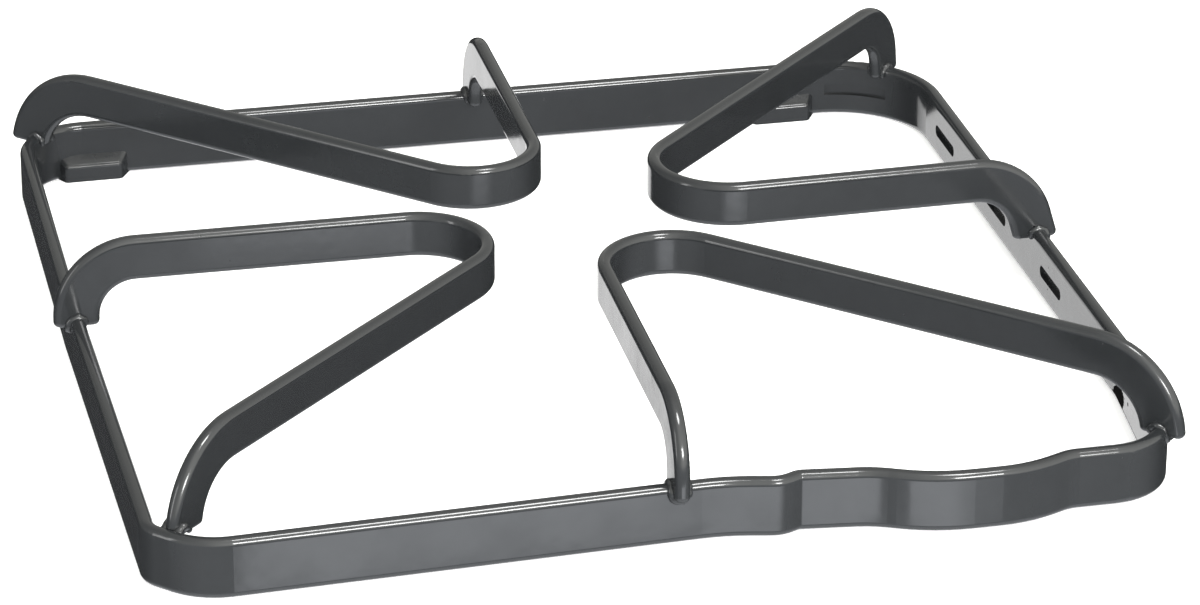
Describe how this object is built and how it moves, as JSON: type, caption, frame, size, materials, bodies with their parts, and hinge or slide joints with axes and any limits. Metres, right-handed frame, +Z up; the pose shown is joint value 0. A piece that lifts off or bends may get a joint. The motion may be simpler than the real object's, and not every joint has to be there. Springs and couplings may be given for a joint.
{
  "type": "hob pan support",
  "caption": "Enamelled steel burner grate: a square ring of flat bar on edge carries welded hairpin fingers that hold a pan level above a gas burner.",
  "frame": {"origin": "burner axis on the plane that the ring stands on, where the four fingers point", "axes": "+Z up towards the pan, -Y towards the cook at the waved side of the ring, +X to the cook's right"},
  "size_m": [0.2226, 0.2242, 0.03],
  "materials": {
    "grey_enamel": "glossy fired porcelain enamel over steel bar, slightly wavy, with small pinholes"
  },
  "bodies": {
    "root": {"ring_frame": "grey_enamel", "finger_back_right": "grey_enamel", "finger_back_left": "grey_enamel", "finger_front_left": "grey_enamel", "finger_front_right": "grey_enamel", "weld_beads": "grey_enamel"}
  },
  "joints": []
}
